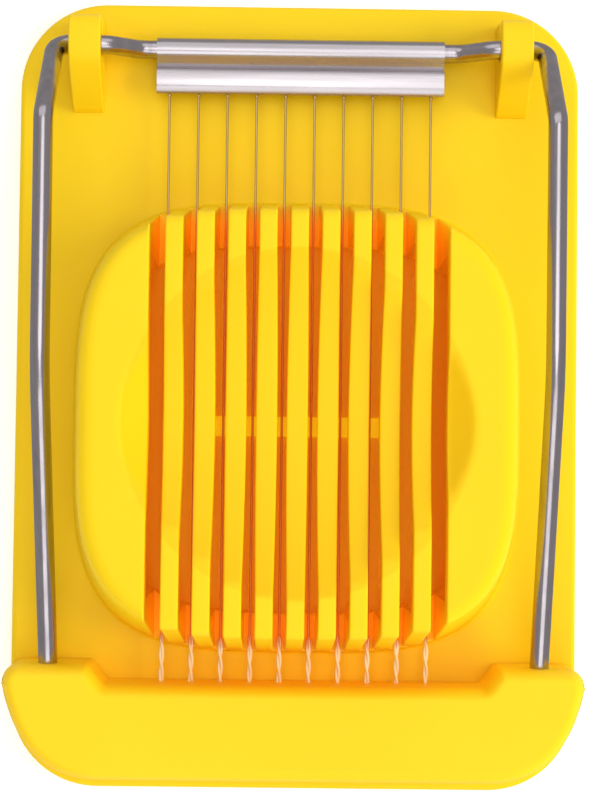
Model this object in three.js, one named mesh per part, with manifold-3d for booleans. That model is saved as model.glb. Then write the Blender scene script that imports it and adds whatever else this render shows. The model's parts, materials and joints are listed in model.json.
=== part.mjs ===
// Egg slicer: a moulded base with a slotted egg cradle, and a wire cutting frame that
// turns on two clips at the back. Millimetres, Z up, X to the right, Y to the back.
import * as THREE from 'three';
import { mergeVertices } from 'three/addons/utils/BufferGeometryUtils.js';
import Module from 'manifold-3d';

const wasm = await Module();
wasm.setup();

// ---------- driving dimensions ----------
const gap = 0.3;

const plateWidth = 90.4;
const plateLength = 126;
const plateCorner = 14;
const plateTop = 5;
const plateWall = 2;
const plateEdgeRound = 0.8;

const wireCount = 10;
const wirePitch = 4.65;
const wireRadius = 0.2;
const wireHeight = 8;
const beadRadius = 0.7;

const cradleY = -5.2;
const cradleFoot = 35.8;
const cradleRim = 30.5;
const cradleSquareness = 3.6;
const cavityHalf = 29.6;
const cavityY = -5.6;
const cavityRoof = 26.3;
const ribDepth = 3;

const hollowHalfX = 26.4;
const hollowHalfY = 26.1;
const hollowDepth = 8.6;
const hollowSquareness = 1.63;

const slotTopWidth = 2;
const slotWidth = 1.42;
const slotSill = 6.5;
const railLength = 28;
const railWidth = 3.2;

const hingeY = 55;
const hingeZ = 11;
const clipInner = 31.6;
const clipOuter = 36.6;
const clipMouth = 2.7;

const rodRadius = 1.5;
const rodMidZ = 7.8;
const armX = 39;
const armZ = 24.5;

const clampLength = 46;
const clampSheet = 0.3;
const clampFit = 0.12;
const clampFront = 47.8;

const handleHalf = 45.2;
const handleUnder = 5.3;
const handleTop = 16.2;
const handleBack = -42.6;
const handleFront = -60.8;
const earRound = 3;
const frontRound = 2;
const notchWall = -45.7;
const notchHalf = 29.6;
const pocketHalf = 31.2;
const pocketBack = -47.6;
const pocketFront = -58.6;
const coverThickness = 1.6;
const anchorDepth = 2.5;
const anchorHeight = 3.4;

// ---------- solids ----------
function solid(geometry) {
  const g = geometry.clone();
  g.deleteAttribute('normal');
  g.deleteAttribute('uv');
  const merged = mergeVertices(g, 1e-4);
  return new wasm.Manifold(new wasm.Mesh({
    numProp: 3,
    vertProperties: merged.attributes.position.array,
    triVerts: new Uint32Array(merged.index.array),
  }));
}

function geometryOf(manifold) {
  const mesh = manifold.getMesh();
  const g = new THREE.BufferGeometry();
  g.setAttribute('position', new THREE.BufferAttribute(mesh.vertProperties, 3));
  g.setIndex(new THREE.BufferAttribute(mesh.triVerts, 1));
  g.computeVertexNormals();
  return g;
}

function box(x0, x1, y0, y1, z0, z1) {
  const g = new THREE.BoxGeometry(x1 - x0, y1 - y0, z1 - z0);
  return g.translate((x0 + x1) / 2, (y0 + y1) / 2, (z0 + z1) / 2);
}

// A plan outline (X, Y) raised from z0 to z1.
function raised(shape, z0, z1, curveSegments = 8) {
  const g = new THREE.ExtrudeGeometry(shape, { depth: z1 - z0, bevelEnabled: false, curveSegments });
  return g.translate(0, 0, z0);
}

// A side outline (Y, Z) run along X from x0 to x1.
function along(shape, x0, x1, curveSegments = 8) {
  const g = new THREE.ExtrudeGeometry(shape, { depth: x1 - x0, bevelEnabled: false, curveSegments });
  g.rotateX(Math.PI / 2);
  g.rotateZ(Math.PI / 2);
  return g.translate(x0, 0, 0);
}

// A front outline (X, Z) run along Y from y0 to y1.
function through(shape, y0, y1, curveSegments = 8) {
  const g = new THREE.ExtrudeGeometry(shape, { depth: y1 - y0, bevelEnabled: false, curveSegments });
  g.rotateX(Math.PI / 2);
  return g.translate(0, y1, 0);
}

function polygon(points) {
  return new THREE.Shape(points.map(([a, b]) => new THREE.Vector2(a, b)));
}

function roundedRect(width, length, radius) {
  const x = width / 2;
  const y = length / 2;
  const s = new THREE.Shape();
  s.moveTo(x, -y + radius);
  s.absarc(x - radius, y - radius, radius, 0, Math.PI / 2);
  s.absarc(-x + radius, y - radius, radius, Math.PI / 2, Math.PI);
  s.absarc(-x + radius, -y + radius, radius, Math.PI, 1.5 * Math.PI);
  s.absarc(x - radius, -y + radius, radius, 1.5 * Math.PI, 2 * Math.PI);
  return s;
}

// A turned form whose round sections are pressed into squared ones. The profile is (reach, z) pairs;
// reach 1 lies on the outline |x/halfX|^n + |y/halfY|^n = 1.
function squaredTurning(profile, halfX, halfY, n, segments, centreY = cradleY) {
  const points = profile.map(([reach, z]) => new THREE.Vector2(reach, z));
  const g = new THREE.LatheGeometry(points, segments);
  g.rotateX(Math.PI / 2);
  const p = g.attributes.position;
  for (let i = 0; i < p.count; i++) {
    const reach = Math.hypot(p.getX(i), p.getY(i));
    const angle = Math.atan2(p.getY(i), p.getX(i));
    const c = Math.cos(angle);
    const s = Math.sin(angle);
    p.setX(i, reach * halfX * Math.sign(c) * Math.abs(c) ** (2 / n));
    p.setY(i, reach * halfY * Math.sign(s) * Math.abs(s) ** (2 / n));
  }
  return g.translate(0, centreY, 0);
}

// A path of straight runs joined by arcs; every sample is a section of the swept rod.
class BentPath extends THREE.Curve {
  constructor(corners, radii) {
    super();
    this.nodes = [corners[0]];
    for (let i = 1; i < corners.length - 1; i++) {
      const at = corners[i];
      const back = corners[i - 1].clone().sub(at).normalize();
      const on = corners[i + 1].clone().sub(at).normalize();
      const turn = Math.PI - back.angleTo(on);
      const reach = radii[i - 1] * Math.tan(turn / 2);
      const centre = at.clone().addScaledVector(back.clone().add(on).normalize(),
        radii[i - 1] / Math.cos(turn / 2));
      const from = at.clone().addScaledVector(back, reach).sub(centre);
      const across = from.clone().cross(at.clone().addScaledVector(on, reach).sub(centre)).normalize();
      const steps = Math.max(2, Math.ceil(turn / (Math.PI / 12)));
      for (let k = 0; k <= steps; k++) {
        this.nodes.push(from.clone().applyAxisAngle(across, (turn * k) / steps).add(centre));
      }
    }
    this.nodes.push(corners[corners.length - 1]);
  }

  get steps() {
    return this.nodes.length - 1;
  }

  getPoint(t) {
    return this.nodes[Math.round(t * this.steps)].clone();
  }

  getPointAt(t) {
    return this.getPoint(t);
  }

  getTangentAt(t) {
    const i = Math.round(t * this.steps);
    const before = this.nodes[Math.max(i - 1, 0)];
    const here = this.nodes[i];
    const after = this.nodes[Math.min(i + 1, this.steps)];
    const into = here.clone().sub(before).normalize();
    return into.add(after.clone().sub(here).normalize()).normalize();
  }
}

function sweptRod(corners, radii, radius) {
  const path = new BentPath(corners, radii);
  const section = new THREE.Shape();
  section.absarc(0, 0, radius, 0, 2 * Math.PI);
  return new THREE.ExtrudeGeometry(section, { steps: path.steps, extrudePath: path, curveSegments: 8 });
}

// The outline of a folded sheet whose middle line is given.
function sheetOutline(line, thickness) {
  const left = [];
  const right = [];
  line.forEach((point, i) => {
    const before = line[Math.max(i - 1, 0)];
    const after = line[Math.min(i + 1, line.length - 1)];
    const normal = after.clone().sub(before).normalize();
    normal.set(-normal.y, normal.x).multiplyScalar(thickness / 2);
    left.push(point.clone().add(normal));
    right.unshift(point.clone().sub(normal));
  });
  return new THREE.Shape(left.concat(right));
}

// ---------- base ----------
function wireX(index) {
  return (index - (wireCount - 1) / 2) * wirePitch;
}

function platePart() {
  const round = plateEdgeRound;
  const outer = new THREE.ExtrudeGeometry(roundedRect(plateWidth, plateLength, plateCorner), {
    depth: plateTop - round,
    bevelThickness: round,
    bevelSize: round,
    bevelOffset: -round,
    bevelSegments: 2,
    curveSegments: 8,
  });
  const inside = roundedRect(plateWidth - 2 * plateWall, plateLength - 2 * plateWall,
    plateCorner - plateWall);
  return solid(outer)
    .subtract(solid(box(-60, 60, -80, 80, -5, 0)))
    .subtract(solid(raised(inside, -1, plateTop - plateWall)));
}

function cradlePart() {
  const foot = plateTop - 1;
  const outside = squaredTurning([
    [0, foot], [1, foot], [1, plateTop], [0.99, 6.5], [0.886, 28.7], [0.88, 29.6],
    [0.869, 30.25], [0.852, cradleRim], [0, cradleRim],
  ], cradleFoot, cradleFoot + 0.3, cradleSquareness, 64);

  const bowlProfile = [[0, cradleRim - hollowDepth]];
  for (let reach = 0.2; reach < 1.01; reach += 0.2) {
    bowlProfile.push([reach, cradleRim - hollowDepth * (1 - reach * reach)]);
  }
  bowlProfile.push([1.04, cradleRim + 1], [0, cradleRim + 1]);
  const bowl = solid(squaredTurning(bowlProfile, hollowHalfX, hollowHalfY, hollowSquareness, 48));

  // The cavity's roof follows the bowl from below, so the slots leave ribs of an even depth.
  const cavity = solid(squaredTurning([[0, plateTop], [1, plateTop], [0.97, cavityRoof], [0, cavityRoof]],
    cavityHalf, cavityHalf, cradleSquareness, 48, cavityY));
  let body = solid(outside).subtract(bowl).subtract(cavity.subtract(bowl.translate([0, 0, -ribDepth])));
  for (let i = 0; i < wireCount; i++) {
    const x = wireX(i);
    const low = slotWidth / 2;
    const high = slotTopWidth / 2;
    const section = polygon([
      [x - low, slotSill], [x + low, slotSill], [x + low, 21.5],
      [x + high, cradleRim + 1], [x - high, cradleRim + 1], [x - low, 21.5],
    ]);
    body = body.subtract(solid(through(section, -60, 50)));
  }
  const rail = box(-railLength / 2, railLength / 2, cradleY - railWidth / 2, cradleY + railWidth / 2,
    plateTop - 1, slotSill);
  return body.add(solid(rail));
}

function clipPart(side) {
  const outline = new THREE.Shape();
  outline.moveTo(45.1, plateTop - 1);
  outline.lineTo(60.2, plateTop - 1);
  outline.lineTo(59.6, 11);
  outline.quadraticCurveTo(59, 14.7, 55.8, 14.7);
  outline.quadraticCurveTo(52.4, 14.7, 50.4, 12.6);
  outline.lineTo(46.1, 7);
  outline.quadraticCurveTo(45.1, 6.2, 45.1, plateTop - 1);
  const clip = solid(along(outline, clipInner, clipOuter));
  const bore = new THREE.CylinderGeometry(rodRadius + gap, rodRadius + gap, 10, 24);
  bore.rotateZ(Math.PI / 2);
  bore.translate(clipInner + 2, hingeY, hingeZ);
  const mouth = box(clipInner - 1, clipOuter + 1, hingeY, hingeY + 10,
    hingeZ - clipMouth / 2, hingeZ + clipMouth / 2);
  const part = clip.subtract(solid(bore)).subtract(solid(mouth));
  return side > 0 ? part : part.mirror([1, 0, 0]);
}

function basePart() {
  return platePart()
    .add(cradlePart())
    .add(clipPart(-1))
    .add(clipPart(1));
}

// ---------- cutting frame ----------
function rodCorners(side) {
  return [
    [25.6, hingeY, rodMidZ],
    [30.6, hingeY, hingeZ],
    [armX, hingeY, hingeZ],
    [armX, hingeY - (armZ - hingeZ), armZ],
    [armX - 0.1, 2.5, armZ],
    [armX - 0.8, -54, 9.4],
  ].map(([x, y, z]) => new THREE.Vector3(side * x, y, z));
}

function rodPart() {
  const right = rodCorners(1);
  const left = rodCorners(-1).reverse();
  const bends = [4, 4, 2.6, 2.6, 38];
  return sweptRod(left.concat(right), bends.slice().reverse().concat(bends), rodRadius);
}

function clampPart() {
  const ring = rodRadius + clampFit + clampSheet / 2;
  const leaf = wireRadius + 0.1 + clampSheet / 2;
  const line = [
    new THREE.Vector2(clampFront, wireHeight + leaf),
    new THREE.Vector2(clampFront + 0.5, wireHeight + leaf + 0.3),
    new THREE.Vector2(clampFront + 1.1, wireHeight + leaf + 0.42),
    new THREE.Vector2(hingeY - 3, wireHeight + leaf + 0.42),
    new THREE.Vector2(hingeY - 2.3, wireHeight + leaf + 0.1),
  ];
  const start = 2.75;
  const end = 3.4;
  const steps = 14;
  for (let k = 0; k <= steps; k++) {
    const angle = start - ((start + end) * k) / steps;
    line.push(new THREE.Vector2(hingeY + ring * Math.cos(angle), rodMidZ + ring * Math.sin(angle)));
  }
  line.push(new THREE.Vector2(hingeY - 2.3, wireHeight - leaf));
  line.push(new THREE.Vector2(clampFront, wireHeight - leaf));
  return along(sheetOutline(line, clampSheet), -clampLength / 2, clampLength / 2);
}

function wirePart(index) {
  const back = hingeY - 2.9;
  const anchorFront = pocketBack - gap - anchorDepth;
  const profile = [[0, back], [wireRadius, back], [wireRadius, anchorFront - 0.1]];
  for (let k = 1; k <= 3; k++) {
    const angle = (k * Math.PI) / 4;
    profile.push([beadRadius * Math.sin(angle), anchorFront - 0.1 - beadRadius * (1 - Math.cos(angle))]);
  }
  profile.push([0, anchorFront - 0.1 - 2 * beadRadius]);
  const points = profile.map(([r, y]) => new THREE.Vector2(r, y)).reverse();
  return new THREE.LatheGeometry(points, 8).translate(wireX(index), 0, wireHeight);
}

function handlePart() {
  const plan = new THREE.Shape();
  plan.moveTo(handleHalf - earRound, handleBack);
  plan.lineTo(-handleHalf + earRound, handleBack);
  plan.quadraticCurveTo(-handleHalf, handleBack, -handleHalf, handleBack - earRound);
  plan.bezierCurveTo(-44.6, -54, -39.2, handleFront, -29, handleFront);
  plan.lineTo(29, handleFront);
  plan.bezierCurveTo(39.2, handleFront, 44.6, -54, handleHalf, handleBack - earRound);
  plan.quadraticCurveTo(handleHalf, handleBack, handleHalf - earRound, handleBack);

  const side = new THREE.Shape();
  side.moveTo(handleBack, handleUnder);
  side.lineTo(handleBack, handleTop - earRound);
  side.quadraticCurveTo(handleBack, handleTop, handleBack - earRound, handleTop);
  side.lineTo(handleFront + 0.5 + frontRound, handleTop);
  side.quadraticCurveTo(handleFront + 0.5, handleTop, handleFront + 0.4, handleTop - frontRound);
  side.lineTo(handleFront, handleUnder);

  const front = new THREE.Shape();
  front.moveTo(-handleHalf, 0);
  front.lineTo(handleHalf, 0);
  front.lineTo(handleHalf, handleTop - frontRound);
  front.quadraticCurveTo(handleHalf, handleTop, handleHalf - frontRound, handleTop);
  front.lineTo(-handleHalf + frontRound, handleTop);
  front.quadraticCurveTo(-handleHalf, handleTop, -handleHalf, handleTop - frontRound);

  const notchSide = new THREE.Shape();
  notchSide.moveTo(handleBack + 2, 0);
  notchSide.lineTo(notchWall, 0);
  notchSide.lineTo(notchWall, handleTop - 3);
  notchSide.quadraticCurveTo(notchWall - 0.1, handleTop - 0.2, notchWall - 2, handleTop);
  notchSide.lineTo(notchWall - 2, handleTop + 2);
  notchSide.lineTo(handleBack + 2, handleTop + 2);
  const notchPlan = polygon([
    [-notchHalf - 1, handleBack + 2], [-notchHalf - 2, handleBack], [-notchHalf, notchWall - 0.6],
    [-notchHalf, -52], [notchHalf, -52], [notchHalf, notchWall - 0.6],
    [notchHalf + 2, handleBack], [notchHalf + 1, handleBack + 2],
  ]);
  const notch = solid(along(notchSide, -40, 40)).intersect(solid(raised(notchPlan, -1, 20)));

  const pocketSide = polygon([
    [pocketBack, 0], [pocketBack, 13.2], [-52, 13.2], [-56, 11.2], [pocketFront, 8.2], [pocketFront, 0],
  ]);
  let body = solid(raised(plan, 0, 20))
    .intersect(solid(along(side, -60, 60)))
    .intersect(solid(through(front, -80, 0)))
    .subtract(notch)
    .subtract(solid(along(pocketSide, -pocketHalf - gap, pocketHalf + gap)));
  for (const side of [-1, 1]) {
    const [bend, tip] = rodCorners(side).slice(-2);
    const bore = [tip.clone().lerp(bend, 0.5), tip.clone().lerp(bend, -0.01)];
    body = body.subtract(solid(sweptRod(bore, [], rodRadius + gap)));
  }
  for (let i = 0; i < wireCount; i++) {
    const x = wireX(i);
    body = body.subtract(solid(box(x - 0.5, x + 0.5, pocketBack - 1, notchWall + 1, 0, wireHeight + 0.5)));
  }
  return body;
}

function coverPart() {
  return box(-pocketHalf, pocketHalf, pocketFront + gap, pocketBack - gap,
    handleUnder, handleUnder + coverThickness);
}

function anchorPart() {
  const bottom = handleUnder + coverThickness + gap;
  const back = pocketBack - gap;
  let body = solid(box(-24.5, 24.5, back - anchorDepth, back, bottom, bottom + anchorHeight));
  for (let i = 0; i < wireCount; i++) {
    const x = wireX(i);
    body = body.subtract(solid(box(x - 0.5, x + 0.5, back - 5, back + 1, 0, wireHeight + 0.5)));
  }
  return body;
}

// ---------- assembly ----------
const yellow = { color: 0xf7c71c, roughness: 0.28, metalness: 0 };
const steel = { color: 0xc9c6c8, roughness: 0.18, metalness: 1 };
const wireSteel = { color: 0xb9b4ae, roughness: 0.3, metalness: 1 };

const group = new THREE.Group();
group.name = 'egg_slicer';

function piece(name, geometry, look) {
  const mesh = new THREE.Mesh(geometry, new THREE.MeshStandardMaterial(look));
  mesh.name = name;
  group.add(mesh);
}

piece('base', geometryOf(basePart()), yellow);
piece('frame_rod', rodPart(), steel);
piece('wire_clamp', clampPart(), steel);
for (let i = 0; i < wireCount; i++) {
  piece(`wire_${String(i + 1).padStart(2, '0')}`, wirePart(i), wireSteel);
}
piece('handle', geometryOf(handlePart()), yellow);
piece('handle_cover', coverPart(), yellow);
piece('wire_anchor', geometryOf(anchorPart()), steel);

export default group;
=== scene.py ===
"""Egg slicer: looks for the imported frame. Shapes are worked out in millimetres and stored in metres."""
import json
import math

import bmesh
import bpy
import numpy as np
from mathutils import Matrix, Vector


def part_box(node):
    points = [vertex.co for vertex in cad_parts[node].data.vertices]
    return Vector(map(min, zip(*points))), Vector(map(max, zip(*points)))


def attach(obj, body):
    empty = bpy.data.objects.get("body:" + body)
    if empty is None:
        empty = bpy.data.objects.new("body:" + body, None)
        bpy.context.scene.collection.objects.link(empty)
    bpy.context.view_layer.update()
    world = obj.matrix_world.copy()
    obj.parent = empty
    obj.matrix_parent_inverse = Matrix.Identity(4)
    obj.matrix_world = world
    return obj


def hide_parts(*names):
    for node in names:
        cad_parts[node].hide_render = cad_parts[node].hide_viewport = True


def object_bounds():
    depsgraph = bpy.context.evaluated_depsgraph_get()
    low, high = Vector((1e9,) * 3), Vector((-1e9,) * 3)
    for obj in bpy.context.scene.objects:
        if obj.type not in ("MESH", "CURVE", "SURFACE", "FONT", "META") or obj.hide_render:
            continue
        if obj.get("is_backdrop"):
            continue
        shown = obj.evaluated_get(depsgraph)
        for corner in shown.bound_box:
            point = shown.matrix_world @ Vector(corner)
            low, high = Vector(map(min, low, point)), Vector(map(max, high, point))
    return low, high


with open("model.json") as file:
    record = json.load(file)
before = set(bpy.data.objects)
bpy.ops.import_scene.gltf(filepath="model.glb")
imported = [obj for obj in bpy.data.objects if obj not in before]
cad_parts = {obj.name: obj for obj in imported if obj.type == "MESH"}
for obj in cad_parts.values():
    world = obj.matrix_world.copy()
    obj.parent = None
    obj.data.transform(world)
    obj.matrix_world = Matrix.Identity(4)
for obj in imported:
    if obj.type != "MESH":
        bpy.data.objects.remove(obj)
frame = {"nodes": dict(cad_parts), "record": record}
cad_low, cad_high = (list(corner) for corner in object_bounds())

MM = 0.001


def millimetres(node):
    low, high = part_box(node)
    return np.array(low) / MM, np.array(high) / MM


base_high = millimetres("base")[1]
clamp_low, clamp_high = millimetres("wire_clamp")
handle_low, handle_high = millimetres("handle")
hinge = np.array(frame["record"]["behaviour"]["joints"][0]["pos_m"]) / MM

# ---------- driving dimensions, mm ----------
PLATE_HALF_X = base_high[0]
PLATE_HALF_Y = base_high[1]
PLATE_CORNER = 14.0
PLATE_TOP = 5.0
PLATE_UNDER = 3.0
PLATE_WALL = 2.0
PLATE_EDGE = 0.9

# The cradle: FOOT is its outline where it meets the plate, SILL where its leaning wall starts and
# OPENING that of the cavity inside. INWARD is measured from the foot's outline.
CRADLE_Y = -5.2
FOOT_HALF = np.array([35.8, 36.1])
FOOT_POWER = 3.6
RIM_Z = base_high[2]
SILL_Z = 6.5
SILL_INWARD = 0.35
SHOULDER_WIDE = 1.25
SHOULDER_TALL = 1.8
WALL_TOP_Z = RIM_Z - SHOULDER_TALL
WALL_TOP_INWARD = 4.1
SIDE_STEEPER = 1.1
SIDE_ROUNDER = 1.2
OPENING_Y = -5.6
OPENING_HALF = np.array([29.6, 29.3])
CAVITY_ROOF = 26.3
SHELL = 3.0

HOLLOW_RADIUS = 26.25
HOLLOW_SQUASH = 1.0
HOLLOW_DEPTH = 8.6
HOLLOW_LIP = 0.22

RAIL_HALF_X = 14.0
RAIL_HALF_Y = 1.6
RAIL_EDGE = 0.3

WIRES = 10
PITCH = 4.65
WIRE_RADIUS = 0.2
WIRE_Z = 8.0
SLOT_HALF = 1.0
SLOT_NARROWING = 0.0335
END_SLOT_HALF = 1.35
RIB_ROUND = 0.25
STEP = 0.02

# The glow in the slots: how far it reaches from the middle in Y, over what length it fades there,
# how far it reaches in X, and the heights where it starts to fade and has gone.
GLOW_END = 34.6
GLOW_EDGE = 1.5
GLOW_SIDE = 22.5
GLOW_FULL_Z = 18.0
GLOW_NONE_Z = 27.0
WALL_GLOW = 0.12

# Each wire starts HIDDEN_WIRE inside the strip, with a ball at the strip's lip, is doubled and
# twisted in front of the cradle, and ends in a bead. Its colour turns to a painted shade between two Ys.
STRAND = 0.22
TWIST_START = -38.2
TWIST_PITCH = 6.4
BEAD_RADIUS = 0.68
LIP_BALL_RADIUS = 0.34
HIDDEN_WIRE = 3.2
WIRE_SHADE_START = 27.0
WIRE_SHADE_FULL = 31.0

ROD_RADIUS = 1.5
ROD_MID_Z = 7.8
CROSSBAR_HALF = 25.6
DROP_END_X = 30.6
ARM_X = 39.0
ARM_Z = 24.5
ARM_BEND_Y = 2.5
ARM_END_Y = -54.0
ARM_END_Z = 9.4
ROD_BENDS = [4, 4, 2.6, 2.6, 38]

# The clips' outline runs in Y from its toe in front to its snap mouth behind.
CLIP_X = (31.6, 36.6)
CLIP_TOE = 45.2
CLIP_TOP = 14.7
CLIP_EDGE = 0.35
BORE_GAP = 0.3
MOUTH_HALF = 1.35

# The strip goes round the crossbar between two angles, in radians from the rear.
STRIP_THICKNESS = 0.3
RING_GAP = 0.12
LEAF_GAP = 0.1
RING_FIRST = 2.36
RING_LAST = -2.8

HANDLE_HALF = handle_high[0]
HANDLE_TOP = handle_high[2]
HANDLE_FRONT = -60.4
HANDLE_WIDEST = -45.9
FRONT_CORNER_X = 30.0
EAR_Y = -42.6
EAR_ROUND = 2.6
NOTCH_Y = -45.7
NOTCH_HALF = 29.2
NOTCH_SLOPE = 3.2
FRONT_ROUND = (1.9, 2.6)
BACK_ROUND = (1.8, 3.0)
HANDLE_FOOT = 0.25
COVER_DROP = 0.25


# ---------- mesh helpers ----------
def wire_x(i):
    return (i - (WIRES - 1) / 2) * PITCH


def grid_faces(rows, columns, start, around=False):
    """Quads over a grid of rows x columns points; around joins the last column to the first."""
    faces = []
    for r in range(rows - 1):
        for c in range(columns if around else columns - 1):
            d = (c + 1) % columns
            a = start + r * columns
            b = a + columns
            faces.append((a + c, a + d, b + d, b + c))
    return faces


def body(patches, weld=0.004, around=False):
    """One closed body from point grids that share their borders."""
    work = bmesh.new()
    for patch in patches:
        patch = np.asarray(patch, float)
        rows, columns = patch.shape[:2]
        points = [work.verts.new(p * MM) for p in patch.reshape(-1, 3)]
        for face in grid_faces(rows, columns, 0, around):
            work.faces.new([points[i] for i in face])
    bmesh.ops.remove_doubles(work, verts=work.verts, dist=weld * MM)
    bmesh.ops.dissolve_degenerate(work, edges=work.edges, dist=0.25 * weld * MM)
    open_edges = [e for e in work.edges if e.is_boundary]
    if open_edges:
        bmesh.ops.holes_fill(work, edges=open_edges, sides=0)
    bmesh.ops.recalc_face_normals(work, faces=work.faces)
    return work


def bevelled(work, width, segments=3, angle=math.radians(32)):
    edges = [e for e in work.edges if len(e.link_faces) == 2 and e.calc_face_angle() > angle]
    bmesh.ops.bevel(work, geom=edges, offset=width * MM, segments=segments, profile=0.5,
                    affect="EDGES", clamp_overlap=True)
    return work


def prism(outline, low, high, place):
    """A flat outline of (a, b) pairs run from low to high; place turns (a, b, run) into (x, y, z)."""
    work = bmesh.new()
    ends = [[work.verts.new(Vector(place(a, b, t)) * MM) for a, b in outline] for t in (low, high)]
    work.faces.new(ends[0])
    work.faces.new(ends[1])
    n = len(outline)
    for i in range(n):
        j = (i + 1) % n
        work.faces.new((ends[0][i], ends[0][j], ends[1][j], ends[1][i]))
    bmesh.ops.recalc_face_normals(work, faces=work.faces)
    return work


def piece(name, works, material, rides, stands_for, smooth=35):
    """One Blender object from finished bodies."""
    whole = bmesh.new()
    for work in works:
        part = bpy.data.meshes.new("part")
        work.to_mesh(part)
        work.free()
        whole.from_mesh(part)
        bpy.data.meshes.remove(part)
    mesh = bpy.data.meshes.new(name)
    whole.to_mesh(mesh)
    whole.free()
    mesh.shade_smooth()
    mesh.set_sharp_from_angle(angle=math.radians(smooth))
    obj = bpy.data.objects.new(name, mesh)
    bpy.context.scene.collection.objects.link(obj)
    weight = obj.modifiers.new("weighted", "WEIGHTED_NORMAL")
    weight.keep_sharp = True
    obj.data.materials.append(material)
    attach(obj, rides)
    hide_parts(*stands_for)


def arc(centre, radius, start, end, steps):
    """Points of a circle's arc, angles in degrees."""
    turn = np.radians(np.linspace(start, end, steps + 1))
    return [(centre[0] + radius * math.cos(t), centre[1] + radius * math.sin(t)) for t in turn]


def bezier(p0, p1, p2, p3, steps):
    t = np.linspace(0, 1, steps + 1)[:, None]
    p0, p1, p2, p3 = (np.array(p, float) for p in (p0, p1, p2, p3))
    return (1 - t) ** 3 * p0 + 3 * (1 - t) ** 2 * t * p1 + 3 * (1 - t) * t ** 2 * p2 + t ** 3 * p3


def resample(points, count):
    """The same path with its points evenly spaced."""
    step = np.linalg.norm(np.diff(points, axis=0), axis=1)
    run = np.concatenate([[0], np.cumsum(step)])
    at = np.linspace(0, run[-1], count)
    return np.stack([np.interp(at, run, points[:, k]) for k in range(points.shape[1])], axis=1)


def bent_path(corners, radii, turn_step=6.0):
    """Straight runs joined by arcs."""
    corners = [Vector(c) for c in corners]
    nodes = [corners[0]]
    for before, at, after, radius in zip(corners, corners[1:], corners[2:], radii):
        back = (before - at).normalized()
        on = (after - at).normalized()
        turn = math.pi - back.angle(on)
        setback = radius * math.tan(turn / 2)
        centre = at + (back + on).normalized() * radius / math.cos(turn / 2)
        start = at + back * setback - centre
        axis = start.cross(at + on * setback - centre).normalized()
        steps = max(3, math.ceil(math.degrees(turn) / turn_step))
        for k in range(steps + 1):
            nodes.append(centre + Matrix.Rotation(turn * k / steps, 3, axis) @ start)
    nodes.append(corners[-1])
    return nodes


def swept(nodes, radius, sides=28, tip=0.25):
    """A round rod along a path, its two ends lightly rounded."""
    nodes = [Vector(n) for n in nodes]
    tangents = []
    for i, node in enumerate(nodes):
        into = (node - nodes[max(i - 1, 0)]).normalized()
        out = (nodes[min(i + 1, len(nodes) - 1)] - node).normalized()
        tangents.append((into + out).normalized())
    across = tangents[0].orthogonal().normalized()
    rings = []
    for i, (node, tangent) in enumerate(zip(nodes, tangents)):
        across = (across - tangent * across.dot(tangent)).normalized()
        up = tangent.cross(across)
        stations = [(0.0, radius)]
        if i == 0:
            stations = [(0.0, 1e-4), (0.0, radius - tip), (0.3 * tip, radius - 0.3 * tip), (tip, radius)]
        if i == len(nodes) - 1:
            stations = [(-tip, radius), (-0.3 * tip, radius - 0.3 * tip), (0.0, radius - tip), (0.0, 1e-4)]
        for along, r in stations:
            ring = []
            for k in range(sides):
                a = 2 * math.pi * k / sides
                ring.append(node + tangent * along + (across * math.cos(a) + up * math.sin(a)) * r)
            rings.append(ring)
    return body([np.array(rings)], weld=0.001, around=True)


# ---------- the cradle's surface ----------
SILL_HALF = FOOT_HALF - SILL_INWARD


def reach(x, y, half_x, half_y, power):
    """How far out a point is: 1 on the squircle with these half lengths, less inside it."""
    return (np.abs(x / half_x) ** power + np.abs(y / half_y) ** power) ** (1 / power)


def softer_min(a, b, width):
    """The lower of two heights, blended where they differ by less than width."""
    h = np.clip(0.5 + 0.5 * (b - a) / width, 0, 1)
    return b + (a - b) * h - width * h * (1 - h)


def outside_height(x, y):
    """Height of the cradle's outer skin: leaning wall, round shoulder, level top. The sides lean less."""
    inward = (1 - reach(x, y - CRADLE_Y, *FOOT_HALF, FOOT_POWER)) * FOOT_HALF[0]
    across = np.abs(x / FOOT_HALF[0]) ** FOOT_POWER
    along = np.abs((y - CRADLE_Y) / FOOT_HALF[1]) ** FOOT_POWER
    to_side = across / np.maximum(across + along, 1e-9)
    wall_top = WALL_TOP_INWARD - SIDE_STEEPER * to_side
    wide = SHOULDER_WIDE + SIDE_ROUNDER * to_side
    steepness = (WALL_TOP_Z - SILL_Z) / (wall_top - SILL_INWARD)
    wall = SILL_Z + (inward - SILL_INWARD) * steepness
    over = np.clip((wall_top + wide - inward) / wide, 0, 1)
    shoulder = WALL_TOP_Z + SHOULDER_TALL * np.sqrt(1 - over ** 2)
    return np.where(inward < wall_top, wall, shoulder)


def hollow_height(x, y):
    """The egg hollow: a bowl whose radius is smallest on its diagonals."""
    back = y - CRADLE_Y
    angle = np.arctan2(back, x)
    radius = HOLLOW_RADIUS - HOLLOW_SQUASH * (1 - np.cos(4 * angle))
    return RIM_Z - HOLLOW_DEPTH * (1 - (x ** 2 + back ** 2) / radius ** 2)


def cradle_height(x, y):
    return softer_min(outside_height(x, y), hollow_height(x, y), HOLLOW_LIP)


def over_cavity(x, y):
    return reach(x, y - OPENING_Y, *OPENING_HALF, FOOT_POWER) < 1


def underside(x, y):
    """The cradle's inner skin: on the sill over the walls, under the hollow inside them."""
    return np.where(over_cavity(x, y), np.minimum(CAVITY_ROOF, hollow_height(x, y) - SHELL), SILL_Z)


def squircle(angle, half, centre_y=CRADLE_Y):
    c, s = np.cos(angle), np.sin(angle)
    r = reach(c, s, *half, FOOT_POWER) ** -1
    return r * c, r * s + centre_y


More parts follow.
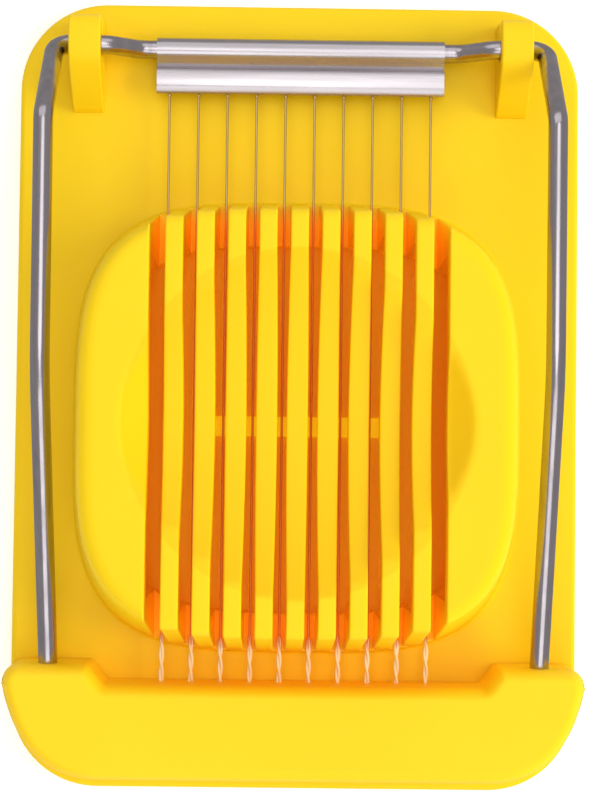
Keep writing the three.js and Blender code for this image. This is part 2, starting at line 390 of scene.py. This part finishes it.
def half_length(x, half):
    """Half the squircle's length in Y at a given X."""
    inside = np.clip(1 - np.abs(x / half[0]) ** FOOT_POWER, 0, 1)
    return half[1] * inside ** (1 / FOOT_POWER)


def rib_profile(x, count=250):
    """The cradle cut at one X: (y, z) from the front sill over the top to the back sill."""
    end = half_length(x, SILL_HALF)
    q = np.linspace(-1, 1, 2001)
    y = CRADLE_Y + end * np.sign(q) * (1 - (1 - np.abs(q)) ** 2.5)
    z = np.maximum(cradle_height(np.full_like(y, x), y), SILL_Z)
    even = resample(np.stack([y, z], axis=1), count)
    wall = half_length(x, OPENING_HALF)
    marks = OPENING_Y + np.array([-wall - STEP, -wall + STEP, wall - STEP, wall + STEP])
    at = np.sort(np.concatenate([even[:, 0], marks]))
    return np.column_stack([at, np.interp(at, y, z)])


def outward(profile):
    """Unit normals of a (y, z) profile, pointing away from the solid below it."""
    slope = np.gradient(profile, axis=0)
    normal = np.stack([-slope[:, 1], slope[:, 0]], axis=1)
    return normal / np.linalg.norm(normal, axis=1, keepdims=True)


def slot_half(x, profile):
    """Half a slot's width along a profile: it narrows as the hollow gets deeper."""
    depth = np.maximum(RIM_Z - hollow_height(x, profile[:, 0]), 0)
    return SLOT_HALF - SLOT_NARROWING * depth


def edge_rows(slot_x, side, half, profile, under):
    """Rows that round a slot's top edge and run down its wall. side is +1 for material at larger X."""
    rows = []
    for turn in np.radians([0, 22, 45, 67, 90]):
        moved = profile - outward(profile) * RIB_ROUND * (1 - math.cos(turn))
        x = slot_x + side * (half + RIB_ROUND * (1 - math.sin(turn)))
        rows.append(np.column_stack([x, moved]))
    edge = rows[-1]
    for share in (0.25, 0.5, 0.75, 1.0):
        z = edge[:, 2] + (np.minimum(under, edge[:, 2]) - edge[:, 2]) * share
        rows.append(np.column_stack([edge[:, 0], edge[:, 1], z]))
    return rows


def rib(i):
    """The blade between slot i and slot i + 1."""
    left, right = wire_x(i), wire_x(i + 1)
    middle = (left + right) / 2
    profile = rib_profile(middle)
    half = slot_half(middle, profile)
    under = underside(middle, profile[:, 0])
    first = edge_rows(left, 1, half, profile, under)[::-1]
    last = edge_rows(right, -1, half, profile, under)
    top = [first[-1] + (last[0] - first[-1]) * share for share in (0.25, 0.5, 0.75)]
    rows = first + top + last + [first[0]]
    return body([np.array(rows)])


def side_block(side):
    """The shoulder of the cradle beyond the outermost slot, a shell like the ribs."""
    slot_x = wire_x(WIRES - 1)
    edge_x = slot_x + END_SLOT_HALF
    profile = rib_profile(edge_x)
    half = np.full(len(profile), END_SLOT_HALF)
    rows = edge_rows(slot_x, 1, half, profile, underside(edge_x, profile[:, 0]))[::-1]
    inner = rows[-1]
    angle = np.arctan2(inner[:, 1] - CRADLE_Y, inner[:, 0])
    out_x, out_y = squircle(angle, SILL_HALF)
    tops, unders = [], []
    for start, ox, oy in zip(inner, out_x, out_y):
        t = np.linspace(0, 1, 400)
        x = start[0] + (max(ox, start[0]) - start[0]) * t
        y = start[1] + (oy - start[1]) * t
        z = np.maximum(cradle_height(x, y), SILL_Z)
        z = z + (start[2] - z[0]) * (1 - t) ** 6
        z[-1] = SILL_Z
        path = np.column_stack([x, y, z])
        within = over_cavity(x, y)
        wall = path[np.count_nonzero(within)] if within[0] else path[0]
        top = resample(path, 44)
        tops.append(top)
        shares = np.array([0, 0.2, 0.4, 0.6, 0.8, 1.0])
        under = start + (wall - start) * shares[:, None]
        under[:, 2] = SILL_Z
        if within[0]:
            under[:, 2] = np.minimum(CAVITY_ROOF, hollow_height(under[:, 0], under[:, 1]) - SHELL)
        unders.append(np.vstack([under, [wall[0], wall[1], SILL_Z], path[-1]]))
    rows += list(np.array(tops).transpose(1, 0, 2)[1:])
    rows += list(np.array(unders).transpose(1, 0, 2)[::-1])
    rows.append(rows[0])
    grid = np.array(rows)
    grid[:, :, 0] *= side
    return body([grid])


# ---------- tray ----------
def rounded_rect(angle, inset):
    """The plate's outline in polar form about its centre, drawn in by inset."""
    half_x, half_y, r = PLATE_HALF_X - inset, PLATE_HALF_Y - inset, max(PLATE_CORNER - inset, 0.5)
    c, s = np.abs(np.cos(angle)), np.abs(np.sin(angle))
    flat = np.minimum(half_x / np.maximum(c, 1e-9), half_y / np.maximum(s, 1e-9))
    cx, cy = half_x - r, half_y - r
    along = c * cx + s * cy
    rounded = along + np.sqrt(np.maximum(along ** 2 - cx ** 2 - cy ** 2 + r ** 2, 0))
    corner = (flat * c > cx) & (flat * s > cy)
    radius = np.where(corner, rounded, flat)
    return radius * np.cos(angle), radius * np.sin(angle)


def tray():
    """Rings from the underside's middle, round the skirt and the cradle's foot, to the cavity floor."""
    corner_bias = 0.16
    t = np.linspace(0, 2 * math.pi, 480, endpoint=False)
    angle = t - corner_bias * np.sin(4 * t) * 0.5

    def plate(inset, z):
        x, y = rounded_rect(angle, inset)
        return np.column_stack([x, y, np.full_like(x, z)])

    def squared(half, centre_y, z):
        x, y = squircle(angle, half, centre_y)
        return np.column_stack([x, y, np.full_like(x, z)])

    under = [plate(PLATE_WALL, 0), plate(PLATE_WALL, PLATE_UNDER - 0.8)]
    under += [plate(PLATE_WALL + 0.25, PLATE_UNDER - 0.25), plate(PLATE_WALL + 0.8, PLATE_UNDER)]
    middle = np.tile([0.0, CRADLE_Y, 1.0], (len(angle), 1))
    rings = [middle * (1, 1, PLATE_UNDER)]
    for share in (0.25, 0.5, 0.75):
        rings.append(rings[0] + (under[-1] - rings[0]) * share)
    rings += under[::-1]
    rings += [plate(0.4, 0), plate(0.12, 0.08), plate(0, 0.3), plate(0, 2.4)]
    for turn in np.radians([0, 18, 36, 54, 72, 90]):
        rings.append(plate(PLATE_EDGE * (1 - math.cos(turn)), PLATE_TOP - PLATE_EDGE * (1 - math.sin(turn))))
    start, end = rings[-1], squared(FOOT_HALF + 0.35, CRADLE_Y, PLATE_TOP)
    for share in (0.04, 0.12, 0.25, 0.4, 0.55, 0.7, 0.85, 0.95):
        rings.append(start + (end - start) * share)
    fillet = bezier((-0.35, PLATE_TOP), (0.1, PLATE_TOP), (0.2, PLATE_TOP + 0.4), (SILL_INWARD, SILL_Z), 7)
    rings += [squared(FOOT_HALF - inward, CRADLE_Y, z) for inward, z in fillet]
    for inset, z in ((-3, SILL_Z), (-0.5, SILL_Z), (-0.15, SILL_Z - 0.12), (0, SILL_Z - 0.5), (0, PLATE_TOP)):
        rings.append(squared(OPENING_HALF - inset, OPENING_Y, z))
    for share in (0.25, 0.5, 0.75, 1.0):
        rings.append(rings[-1] + (middle * (1, 1, PLATE_TOP) - rings[-1]) * share)
    return body([np.array(rings)], weld=0.001, around=True)


def floor_rail():
    """The low rail across the cavity's floor, sunk a little into the plate."""
    front, back = CRADLE_Y - RAIL_HALF_Y, CRADLE_Y + RAIL_HALF_Y
    box = [(-RAIL_HALF_X, front), (RAIL_HALF_X, front), (RAIL_HALF_X, back), (-RAIL_HALF_X, back)]
    return bevelled(prism(box, PLATE_TOP - 0.5, SILL_Z, lambda a, b, t: (a, b, t)), RAIL_EDGE)


def clip(side):
    """A hook that holds the crossbar: closed in front and above, with a snap mouth behind."""
    bore = ROD_RADIUS + BORE_GAP
    lip = math.degrees(math.asin(MOUTH_HALF / bore))
    root = PLATE_TOP - 1
    outline = [(CLIP_TOE, root), (CLIP_TOE, PLATE_TOP + 0.2), (CLIP_TOE + 0.6, 6.6), (50.0, 12.0)]
    outline += [tuple(p) for p in bezier((50.8, 12.9), (52.2, 14.5), (53.3, CLIP_TOP), (55.0, CLIP_TOP), 8)]
    outline += [tuple(p) for p in bezier((55.8, CLIP_TOP), (58.2, CLIP_TOP), (59.2, 14.2), (59.5, 12.35), 8)]
    outline += [(hinge[1] + bore * math.cos(math.radians(lip)) + 1.5, hinge[2] + MOUTH_HALF)]
    outline += arc((hinge[1], hinge[2]), bore, lip, 360 - lip, 28)
    outline += [(59.7, hinge[2] - MOUTH_HALF), (60.1, root)]
    work = prism(outline, *CLIP_X, lambda a, b, t: (t * side, a, b))
    return bevelled(work, CLIP_EDGE)


# ---------- cutting frame ----------
def rod():
    """The bent rod: a dropped crossbar, then arms that rise at 45 degrees, run level and slope down."""
    rise = ARM_Z - hinge[2]
    half = [(CROSSBAR_HALF, hinge[1], ROD_MID_Z), (DROP_END_X, hinge[1], hinge[2]),
            (ARM_X, hinge[1], hinge[2]), (ARM_X, hinge[1] - rise, ARM_Z),
            (ARM_X - 0.1, ARM_BEND_Y, ARM_Z), (ARM_X - 0.8, ARM_END_Y, ARM_END_Z)]
    left = [(-x, y, z) for x, y, z in reversed(half)]
    return swept(bent_path(left + half, ROD_BENDS[::-1] + ROD_BENDS), ROD_RADIUS)


def sheet(line, thickness, low, high, bevel=0.06):
    """A folded sheet whose middle line is given as (y, z) pairs, run along X."""
    line = np.array(line, float)
    slope = np.gradient(line, axis=0)
    slope /= np.linalg.norm(slope, axis=1, keepdims=True)
    normal = np.column_stack([-slope[:, 1], slope[:, 0]])
    upper = line + normal * thickness / 2
    lower = line - normal * thickness / 2
    outline = [tuple(p) for p in upper] + [tuple(p) for p in lower[::-1]]
    work = prism(outline, low, high, lambda a, b, t: (t, a, b))
    return bevelled(work, bevel, segments=2, angle=math.radians(50))


def ring_point(turn):
    """A point of the strip's middle line round the crossbar; turn is in radians from the rear."""
    ring = ROD_RADIUS + RING_GAP + STRIP_THICKNESS / 2
    return hinge[1] + ring * math.cos(turn), ROD_MID_Z + ring * math.sin(turn)


def clamp():
    """The folded strip: front lip, flap, groove, round the crossbar, and the lower leaf under the wires."""
    leaf = WIRE_RADIUS + LEAF_GAP + STRIP_THICKNESS / 2
    front = clamp_low[1]
    top = WIRE_Z + leaf
    under = WIRE_Z - leaf
    line = [(front + 0.32, top - 0.12), (front + 0.5, top + 0.05), (front + 0.9, top + 0.25)]
    line += [tuple(p) for p in bezier((front + 1.3, top + 0.4), (front + 1.8, top + 0.52),
                                      (front + 2.9, top + 0.52), (front + 3.7, top + 0.44), 8)]
    line += [(front + 3.92, top + 0.25), (front + 4.0, top - 0.2), (front + 4.06, top - 0.65)]
    groove = np.array([front + 4.2, top - 0.8])
    ring_start = np.array(ring_point(RING_FIRST))
    line += [tuple(groove + (ring_start - groove) * share) for share in (0, 0.08, 0.5, 0.9)]
    line += [ring_point(turn) for turn in np.linspace(RING_FIRST, RING_LAST, 25)]
    line += [(front + 4.5, under - 0.35), (front + 3.8, under - 0.3)]
    line += [(front + 3.2, under), (front + 2.5, under), (front + 0.35, under)]
    return sheet(line, STRIP_THICKNESS, clamp_low[0], clamp_high[0])


def wire(i):
    """A single wire from the strip to the cradle's front, then doubled and twisted into the handle."""
    x = wire_x(i)
    wire_low = millimetres("wire_%02d" % (i + 1))[0]
    bead = wire_low[1] + 0.7
    beads = []
    for radius, place in ((BEAD_RADIUS, (x, bead, WIRE_Z)),
                          (LIP_BALL_RADIUS, (x, clamp_low[1] - 0.15, WIRE_Z + 0.12))):
        ball = bmesh.new()
        bmesh.ops.create_icosphere(ball, subdivisions=3, radius=radius * MM,
                                   matrix=Matrix.Translation(Vector(place) * MM))
        beads.append(ball)
    twisted = []
    along = np.linspace(TWIST_START, bead, 90)
    for turn in (0, math.pi):
        angle = turn + i + 2 * math.pi * (along - TWIST_START) / TWIST_PITCH
        offset = STRAND * np.minimum(1, (TWIST_START - along) / 0.8)
        path = np.column_stack([x + offset * np.cos(angle), along, WIRE_Z + offset * np.sin(angle)])
        twisted.append(swept(path, STRAND, sides=10, tip=0.03))
    run = [(x, y, WIRE_Z) for y in (clamp_low[1] + HIDDEN_WIRE, 20, -20, TWIST_START - 0.1)]
    return [swept(run, WIRE_RADIUS, sides=12, tip=0.05)] + beads + twisted


def ear_side(x):
    """How far round the ear's outer corner an X is, 0 to 1."""
    return np.clip((np.abs(x) - (HANDLE_HALF - EAR_ROUND)) / EAR_ROUND, 0, 1)


def handle_front(x):
    """The handle's front edge in plan at each X."""
    corner = bezier((FRONT_CORNER_X, HANDLE_FRONT), (40.2, HANDLE_FRONT), (43.6, -53.0),
                    (HANDLE_HALF, HANDLE_WIDEST), 300)
    x = np.abs(x)
    return np.where(x < FRONT_CORNER_X, HANDLE_FRONT, np.interp(x, corner[:, 0], corner[:, 1]))


def handle_back(x):
    """The handle's back edge in plan: ears at the sides, notch between them."""
    step = np.clip((np.abs(x) - NOTCH_HALF) / NOTCH_SLOPE, 0, 1)
    eased = step * step * (3 - 2 * step)
    corner = EAR_ROUND * (1 - np.sqrt(1 - ear_side(x) ** 2))
    return NOTCH_Y + (EAR_Y - NOTCH_Y) * eased - corner


def rounded_off(distance, wide, tall):
    """How far a surface drops at a distance from its edge."""
    over = np.clip((wide - distance) / wide, 0, 1)
    return tall * (1 - np.sqrt(1 - over ** 2))


def handle():
    """The shell as a grid of stations in X, each running from the back edge to the front edge."""
    side = HANDLE_HALF - EAR_ROUND
    ear_start = NOTCH_HALF + NOTCH_SLOPE
    middle = np.linspace(0, NOTCH_HALF - 0.4, 20)
    shoulder = np.linspace(NOTCH_HALF - 0.1, ear_start + 0.3, 20)
    ear = np.linspace(ear_start + 0.8, side - 0.4, 16)
    end = side + EAR_ROUND * np.sin(np.radians(np.linspace(0, 90, 18)))
    right = np.concatenate([middle, shoulder, ear, end])
    stations = np.concatenate([-right[:0:-1], right])
    share = np.linspace(0, 1, 80)
    share = 0.5 - 0.5 * np.cos(math.pi * (0.5 - 0.5 * np.cos(math.pi * share)))
    fine = np.concatenate([-right[:0:-1], right, np.linspace(-HANDLE_HALF, HANDLE_HALF, 1201)])
    fine.sort()
    front_line = np.column_stack([fine, handle_front(fine)])
    back_line = np.column_stack([fine, handle_back(fine)])
    rows = []
    for x in stations:
        y = handle_back(x) + (handle_front(x) - handle_back(x)) * share
        here = np.column_stack([np.full_like(y, x), y])
        front = np.linalg.norm(here[:, None] - front_line[None], axis=2).min(axis=1)
        back = np.linalg.norm(here[:, None] - back_line[None], axis=2).min(axis=1)
        drop = np.maximum(rounded_off(front, *FRONT_ROUND), rounded_off(back, *BACK_ROUND))
        rows.append(np.column_stack([here, HANDLE_TOP - drop]))
    top = np.array(rows)
    bottom = top.copy()
    bottom[:, :, 2] = handle_low[2]
    mid = top.copy()
    mid[:, :, 2] = handle_low[2] + HANDLE_FOOT
    back_wall = np.stack([top[:, 0], mid[:, 0], bottom[:, 0]])
    front_wall = np.stack([top[:, -1], mid[:, -1], bottom[:, -1]])
    left_wall = np.stack([top[0], mid[0], bottom[0]])
    right_wall = np.stack([top[-1], mid[-1], bottom[-1]])
    return body([top, bottom, back_wall, front_wall, left_wall, right_wall])


def cover():
    """The plate under the handle, a little lower than in the CAD so it shows: the handle is solid here."""
    low, high = millimetres("handle_cover")
    corners = [(low[0], low[1]), (high[0], low[1]), (high[0], high[1]), (low[0], high[1])]
    floor_z, roof_z = low[2] - COVER_DROP, high[2] - COVER_DROP
    return bevelled(prism(corners, floor_z, roof_z, lambda a, b, t: (a, b, t)), 0.25)


# ---------- materials ----------
def nodes_of(material):
    material.use_nodes = True
    tree = material.node_tree
    return tree, tree.nodes["Principled BSDF"]


def noise(tree, scale, detail=3.0, stretch=(1, 1, 1)):
    place = tree.nodes.new("ShaderNodeTexCoord")
    mapping = tree.nodes.new("ShaderNodeMapping")
    mapping.inputs["Scale"].default_value = stretch
    texture = tree.nodes.new("ShaderNodeTexNoise")
    texture.inputs["Scale"].default_value = scale
    texture.inputs["Detail"].default_value = detail
    tree.links.new(place.outputs["Object"], mapping.inputs["Vector"])
    tree.links.new(mapping.outputs["Vector"], texture.inputs["Vector"])
    return texture.outputs["Fac"]


def ramp(tree, factor, low, high, start=0.3, end=0.7):
    node = tree.nodes.new("ShaderNodeMapRange")
    node.inputs["From Min"].default_value = start
    node.inputs["From Max"].default_value = end
    node.inputs["To Min"].default_value = low
    node.inputs["To Max"].default_value = high
    tree.links.new(factor, node.inputs["Value"])
    return node.outputs["Result"]


def mix_colour(tree, factor, first, second):
    """Mixes two colours; each is three numbers or another node's output."""
    node = tree.nodes.new("ShaderNodeMix")
    node.data_type = "RGBA"
    for socket, colour in ((node.inputs["A"], first), (node.inputs["B"], second)):
        if isinstance(colour, tuple):
            socket.default_value = (*colour, 1)
        else:
            tree.links.new(colour, socket)
    tree.links.new(factor, node.inputs["Factor"])
    return node.outputs["Result"]


def bump(tree, shader, height, strength, distance):
    node = tree.nodes.new("ShaderNodeBump")
    node.inputs["Strength"].default_value = strength
    node.inputs["Distance"].default_value = distance
    tree.links.new(height, node.inputs["Height"])
    tree.links.new(node.outputs["Normal"], shader.inputs["Normal"])


def calculated(tree, operation, first, second=0.0, third=0.0):
    """One maths node; each value is a number or another node's output."""
    node = tree.nodes.new("ShaderNodeMath")
    node.operation = operation
    for socket, value in zip(node.inputs, (first, second, third)):
        if isinstance(value, (int, float)):
            socket.default_value = value
        else:
            tree.links.new(value, socket)
    return node.outputs["Value"]


def position(tree):
    """The place on the piece along X, Y and Z."""
    place = tree.nodes.new("ShaderNodeTexCoord")
    split = tree.nodes.new("ShaderNodeSeparateXYZ")
    tree.links.new(place.outputs["Object"], split.inputs["Vector"])
    return [split.outputs[axis] for axis in "XYZ"]


def in_hollow(tree):
    """1 on the egg hollow and 0 outside it."""
    x, y, z = position(tree)
    back = calculated(tree, "SUBTRACT", y, CRADLE_Y * MM)
    across = calculated(tree, "MULTIPLY", x, x)
    radius = calculated(tree, "SQRT", calculated(tree, "MULTIPLY_ADD", back, back, across))
    within = ramp(tree, radius, 1, 0, (HOLLOW_RADIUS - 0.4) * MM, (HOLLOW_RADIUS + 0.1) * MM)
    floor_z = RIM_Z - HOLLOW_DEPTH
    return calculated(tree, "MULTIPLY", within, ramp(tree, z, 0, 1, (floor_z - 3) * MM, (floor_z - 1) * MM))


def moulded_plastic(name, light, deep, roughness, hollow_painted_shade=None):
    material = bpy.data.materials.new(name)
    tree, shader = nodes_of(material)
    cloud = noise(tree, 60, detail=2)
    tone = mix_colour(tree, ramp(tree, cloud, 0, 1), light, deep)
    # Painted shade: the egg hollow takes a deeper orange, standing in for light bounced between its yellow
    # walls.
    if hollow_painted_shade:
        tone = mix_colour(tree, in_hollow(tree), tone, hollow_painted_shade)
    tree.links.new(tone, shader.inputs["Base Color"])
    fine = noise(tree, 900, detail=4)
    tree.links.new(ramp(tree, fine, roughness - 0.04, roughness + 0.06), shader.inputs["Roughness"])
    bump(tree, shader, noise(tree, 420, detail=2), 0.12, 0.00006)
    shader.inputs["IOR"].default_value = 1.49
    shader.inputs["Specular IOR Level"].default_value = 0.22
    return material


def glow_evenly(material, colour, strength):
    shader = nodes_of(material)[1]
    shader.inputs["Emission Color"].default_value = (*colour, 1)
    shader.inputs["Emission Strength"].default_value = strength


def lit_through(material, colour):
    """A glow where the slots cross the cradle's wall, for the light that comes through coloured plastic."""
    tree, shader = nodes_of(material)
    x, y, z = position(tree)
    lean = WALL_TOP_INWARD / (WALL_TOP_Z - PLATE_TOP)
    from_middle = calculated(tree, "ABSOLUTE", calculated(tree, "SUBTRACT", y, CRADLE_Y * MM))
    to_wall = calculated(tree, "MULTIPLY_ADD", z, lean, from_middle)
    wall = GLOW_END + lean * SILL_Z
    inside = ramp(tree, to_wall, 1, 0, (wall - GLOW_EDGE) * MM, wall * MM)
    across = calculated(tree, "ABSOLUTE", x)
    among_slots = ramp(tree, across, 1, 0, (GLOW_SIDE - 0.2) * MM, GLOW_SIDE * MM)
    low = ramp(tree, z, 1, 0, GLOW_FULL_Z * MM, GLOW_NONE_Z * MM)
    above_plate = ramp(tree, z, 0, 1, (PLATE_TOP + 0.1) * MM, (PLATE_TOP + 0.5) * MM)
    back = calculated(tree, "ABSOLUTE", calculated(tree, "SUBTRACT", y, OPENING_Y * MM))
    shares = [calculated(tree, "POWER", calculated(tree, "DIVIDE", value, half * MM), FOOT_POWER)
              for value, half in ((across, OPENING_HALF[0]), (back, OPENING_HALF[1]))]
    strength = ramp(tree, calculated(tree, "ADD", *shares), 0, WALL_GLOW, 0.98, 1.0)
    for share in (inside, among_slots, low, above_plate):
        strength = calculated(tree, "MULTIPLY", strength, share)
    tree.links.new(strength, shader.inputs["Emission Strength"])
    shader.inputs["Emission Color"].default_value = (*colour, 1)


def drawn_steel(name, light, dark, roughness, stretch, grain=700):
    material = bpy.data.materials.new(name)
    tree, shader = nodes_of(material)
    streak = noise(tree, grain, detail=3, stretch=stretch)
    tree.links.new(mix_colour(tree, ramp(tree, streak, 0, 1), light, dark), shader.inputs["Base Color"])
    tree.links.new(ramp(tree, streak, roughness - 0.03, roughness + 0.07), shader.inputs["Roughness"])
    bump(tree, shader, streak, 0.08, 0.00003)
    shader.inputs["Metallic"].default_value = 1.0
    return material


def wire_metal(name, shaded_tone, slot_reflection_tone, front_highlight_tone, roughness):
    """Painted light along the wire: shade behind the cradle, the slot walls' orange reflection in the slots,
    a highlight in front.
    """
    material = bpy.data.materials.new(name)
    tree, shader = nodes_of(material)
    along = position(tree)[1]
    front = ramp(tree, along, 1, 0, (TWIST_START - 2) * MM, TWIST_START * MM)
    behind = ramp(tree, along, 0, 1, WIRE_SHADE_START * MM, WIRE_SHADE_FULL * MM)
    tone = mix_colour(tree, behind, slot_reflection_tone, shaded_tone)
    tree.links.new(mix_colour(tree, front, tone, front_highlight_tone), shader.inputs["Base Color"])
    streak = noise(tree, 900, detail=3, stretch=(1, 0.05, 1))
    tree.links.new(ramp(tree, streak, roughness - 0.05, roughness + 0.1), shader.inputs["Roughness"])
    bump(tree, shader, streak, 0.08, 0.00003)
    tree.links.new(ramp(tree, front, 1, 0.3, 0, 1), shader.inputs["Metallic"])
    return material


# Painted shade: the last colour is a deeper orange painted on the egg hollow.
base_plastic = moulded_plastic("yellow_base", (0.96, 0.645, 0.006), (0.95, 0.63, 0.005), 0.46,
                               hollow_painted_shade=(0.96, 0.58, 0.002))
# Painted light: the base glows a deep orange where the slots cross the cradle's wall.
lit_through(base_plastic, (1.0, 0.2, 0.0))
handle_plastic = moulded_plastic("yellow_handle", (0.99, 0.65, 0.012), (0.985, 0.635, 0.010), 0.48)
# Painted light: the cavity's rail gets a lighter yellow than the base and an even glow, for the light that
# reaches it down the slots.
rail_plastic_painted_glow = moulded_plastic("yellow_rail_painted_light", (0.96, 0.75, 0.01), (0.95, 0.72, 0.008), 0.5)
glow_evenly(rail_plastic_painted_glow, (0.8, 0.75, 0.0), 0.28)
rod_steel = drawn_steel("bright_rod", (0.50, 0.455, 0.485), (0.40, 0.365, 0.39), 0.20, (1, 0.04, 1))
strip_steel = drawn_steel("rolled_strip", (0.56, 0.52, 0.54), (0.44, 0.405, 0.425), 0.26, (0.04, 1, 1))
# Painted light: the wire's three colours are shade behind the cradle, the slot walls' reflection in the slots
# and a highlight in front.
wire_steel = wire_metal("drawn_wire", (0.66, 0.50, 0.22), (0.78, 0.46, 0.17), (0.97, 0.87, 0.56), 0.45)
bar_steel = drawn_steel("plain_bar", (0.62, 0.61, 0.62), (0.50, 0.49, 0.51), 0.4, (0.1, 1, 1))

# ---------- pieces ----------
base_works = [tray(), clip(-1), clip(1), side_block(-1), side_block(1)]
base_works += [rib(i) for i in range(WIRES - 1)]
piece("slicer_base", base_works, base_plastic, "base_body", ["base"])
piece("cradle_floor_rail", [floor_rail()], rail_plastic_painted_glow, "base_body", ["base"])
piece("bent_rod", [rod()], rod_steel, "cutting_frame", ["frame_rod"], smooth=50)
piece("folded_strip", [clamp()], strip_steel, "cutting_frame", ["wire_clamp"], smooth=40)
for index in range(WIRES):
    node = "wire_%02d" % (index + 1)
    piece("cutting_" + node, wire(index), wire_steel, "cutting_frame", [node], smooth=60)
piece("handle_shell", [handle()], handle_plastic, "cutting_frame", ["handle"], smooth=50)
piece("handle_floor", [cover()], handle_plastic, "cutting_frame", ["handle_cover"])
for slot in frame["nodes"]["wire_anchor"].material_slots:
    slot.material = bar_steel


# ---------- floor, lights, camera ----------
def floor_material():
    material = bpy.data.materials.new("pale_floor")
    tree, shader = nodes_of(material)
    cloud = ramp(tree, noise(tree, 8, detail=2), 0, 1)
    tone = mix_colour(tree, cloud, (0.97, 0.97, 0.97), (0.95, 0.95, 0.95))
    tree.links.new(tone, shader.inputs["Base Color"])
    shader.inputs["Roughness"].default_value = 0.9
    glow_evenly(material, (1, 1, 1), 0.25)
    return material


def add_floor():
    work = bmesh.new()
    bmesh.ops.create_grid(work, x_segments=8, y_segments=8, size=1.5)
    mesh = bpy.data.meshes.new("floor")
    work.to_mesh(mesh)
    work.free()
    floor = bpy.data.objects.new("floor", mesh)
    floor.location = (0, 0, cad_low[2] - 0.0001)
    floor.data.materials.append(floor_material())
    bpy.context.scene.collection.objects.link(floor)
    floor.visible_glossy = False
    floor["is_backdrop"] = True


def add_light(name, azimuth, elevation, size, watts, in_reflections=True):
    """A soft box 1.8 m away; azimuth 0 is the right of the object and 90 its hinge side."""
    turn, lift = math.radians(azimuth), math.radians(elevation)
    towards = Vector((math.cos(turn) * math.cos(lift), math.sin(turn) * math.cos(lift), math.sin(lift)))
    data = bpy.data.lights.new(name, "AREA")
    data.shape = "RECTANGLE"
    data.size, data.size_y = size
    data.energy = watts
    light = bpy.data.objects.new(name, data)
    light.location = towards * 1.8
    light.rotation_euler = towards.to_track_quat("Z", "Y").to_euler()
    light.visible_glossy = in_reflections
    bpy.context.scene.collection.objects.link(light)


def add_world(strength):
    world = bpy.data.worlds.new("studio")
    world.use_nodes = True
    world.node_tree.nodes["Background"].inputs["Color"].default_value = (1, 0.99, 0.98, 1)
    world.node_tree.nodes["Background"].inputs["Strength"].default_value = strength
    bpy.context.scene.world = world


def add_camera():
    """Almost straight above, leaning a little towards the handle and turned a little."""
    place = Vector((-2.6, -12.4, 308)) * MM
    aim = Vector((0.05, -0.95, 8)) * MM
    turn = math.radians(0.70)
    look = (aim - place).normalized()
    right = look.cross(Vector((0, 1, 0))).normalized()
    up = right.cross(look)
    side = right * math.cos(turn) + up * math.sin(turn)
    top = up * math.cos(turn) - right * math.sin(turn)
    data = bpy.data.cameras.new("camera")
    data.sensor_width = 36
    data.lens = 84.8
    data.clip_start = 0.01
    camera = bpy.data.objects.new("camera", data)
    camera.matrix_world = Matrix.Translation(place) @ Matrix((side, top, -look)).transposed().to_4x4()
    bpy.context.scene.collection.objects.link(camera)
    bpy.context.scene.camera = camera


add_floor()
add_world(0.39)
add_light("right", 0, 30, (1.1, 0.8), 18.5, in_reflections=False)
add_light("front", -90, 30, (1.8, 1.0), 9.0, in_reflections=False)
add_light("above_front", -80, 58, (1.3, 0.9), 5.2)
add_light("top", 45, 84, (1.0, 1.0), 5.8)
add_light("back", 100, 45, (2.4, 1.4), 8.3)
add_camera()
bpy.context.scene.view_settings.view_transform = "Standard"
bpy.context.scene.cycles.diffuse_bounces = 24
bpy.context.scene.cycles.max_bounces = 28
